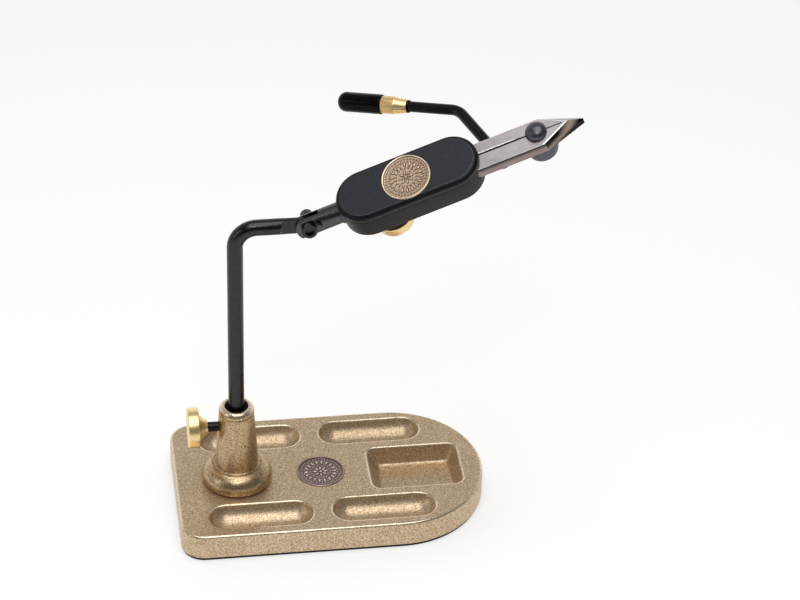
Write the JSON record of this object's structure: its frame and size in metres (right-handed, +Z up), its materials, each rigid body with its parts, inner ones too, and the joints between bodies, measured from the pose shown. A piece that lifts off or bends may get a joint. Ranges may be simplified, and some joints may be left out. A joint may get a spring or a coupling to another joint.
{
  "type": "fly tying vise",
  "caption": "Pedestal fly tying vise with a pocketed base, a bent stem, a tilting and turning head and jaws opened by a squeeze lever.",
  "frame": {"origin": "on the table plane, where the upright stem's axis meets it", "axes": "+X along the base toward its round end and the jaws, +Y to the back, +Z up along the stem"},
  "size_m": [0.2381, 0.1354, 0.2625],
  "materials": {
    "cast_bronze": "bronze-gold metallic powder coat with fine flakes",
    "post_bronze": "bronze-gold metallic powder coat with fine flakes",
    "pad_rubber": "matt non-slip sheet",
    "badge_copper": "antique copper, dark in the hollows",
    "badge_bronze": "antique bronze with a polished rim",
    "zinc_steel": "zinc plated",
    "bush_black": "moulded",
    "brass": "polished",
    "black_steel": "black oxide, polished",
    "dark_steel": "dark gunmetal, polished",
    "spring_steel": "bright",
    "head_casting": "satin black powder coat",
    "face_black": "fine-textured satin black",
    "bearing_bronze": "sintered",
    "nylon": "moulded",
    "rod_black": "gloss black",
    "grip_black": "gloss black",
    "jaw_steel": "satin hardened steel"
  },
  "bodies": {
    "base": {"base": "cast_bronze", "base_pad": "pad_rubber", "base_badge": "badge_copper", "post": "post_bronze", "post_bolt": "zinc_steel"},
    "stem_bush": {"stem_bush": "bush_black"},
    "stem": {"stem": "black_steel"},
    "clamp_shoe": {"clamp_shoe": "brass"},
    "clamp_screw": {"clamp_screw": "black_steel", "clamp_knob": "brass"},
    "head_shaft": {"head_shaft": "black_steel", "tilt_screw": "black_steel", "tilt_nut": "black_steel", "retaining_ring": "spring_steel"},
    "head": {"head_body": "head_casting", "head_cover": "face_black", "head_badge": "badge_bronze", "cover_screws": "black_steel", "head_bush": "bearing_bronze", "jaw_pins": "spring_steel", "jaw_springs": "spring_steel"},
    "tension_shoe": {"tension_shoe": "nylon"},
    "tension_screw": {"tension_screw": "black_steel", "tension_knob": "brass"},
    "lever": {"lever_cam": "dark_steel", "lever_rod": "rod_black", "lever_ferrule": "brass", "lever_grip": "grip_black"},
    "jaw_upper": {"jaw_upper": "jaw_steel"},
    "jaw_lower": {"jaw_lower": "jaw_steel", "guide_bolt": "dark_steel", "guide_nut": "dark_steel"}
  },
  "joints": [
    {"name": "stem_turn", "type": "hinge", "parent": "base", "child": "stem_bush", "pos_m": [0, 0, 0.07], "axis": [0, 0, 1], "continuous": true},
    {"name": "stem_height", "type": "slide", "parent": "stem_bush", "child": "stem", "axis": [0, 0, 1], "range_m": [0, 0.025]},
    {"name": "clamp_travel", "type": "slide", "parent": "base", "child": "clamp_shoe", "axis": [-1, 0, 0], "range_m": [0, 0.00254]},
    {"name": "clamp_turn", "type": "hinge", "parent": "clamp_shoe", "child": "clamp_screw", "pos_m": [-0.02, 0, 0.0579], "axis": [-1, 0, 0], "range_deg": [0, 720.1]},
    {"name": "head_tilt", "type": "hinge", "parent": "stem", "child": "head_shaft", "pos_m": [0.0425, 0, 0.1999], "axis": [0, -1, 0], "range_deg": [-50, 40]},
    {"name": "head_spin", "type": "hinge", "parent": "head_shaft", "child": "head", "pos_m": [0.07032, 0, 0.21114], "axis": [0.9272, 0, 0.3746], "continuous": true},
    {"name": "tension_travel", "type": "slide", "parent": "head", "child": "tension_shoe", "axis": [0.3473, 0.3746, -0.8597], "range_m": [0, 0.00127]},
    {"name": "tension_turn", "type": "hinge", "parent": "tension_shoe", "child": "tension_screw", "pos_m": [0.092, 0.00749, 0.1999], "axis": [0.3473, 0.3746, -0.8597], "range_deg": [0, 360.1]},
    {"name": "lever_squeeze", "type": "hinge", "parent": "head", "child": "lever", "pos_m": [0.15083, -0.00083, 0.2433], "axis": [-0.3473, -0.3746, 0.8597], "range_deg": [0, 20], "stiffness_Nm_per_rad": 0.8, "springref_deg": -14.32},
    {"name": "jaw_upper_open", "type": "hinge", "parent": "head", "child": "jaw_upper", "pos_m": [0.12349, 0.00399, 0.23436], "axis": [-0.3473, -0.3746, 0.8597], "range_deg": [0, 2.2]},
    {"name": "jaw_lower_open", "type": "hinge", "parent": "head", "child": "jaw_lower", "pos_m": [0.12495, -0.00566, 0.23075], "axis": [0.3473, 0.3746, -0.8597], "range_deg": [0, 2.5]}
  ],
  "couplings": [
    {"joint": "clamp_turn", "follows": "clamp_travel", "rad_per_m": 4947.4},
    {"joint": "tension_turn", "follows": "tension_travel", "rad_per_m": 4947.4},
    {"joint": "jaw_upper_open", "follows": "lever_squeeze", "ratio": 0.106},
    {"joint": "jaw_lower_open", "follows": "lever_squeeze", "ratio": 0.12}
  ]
}
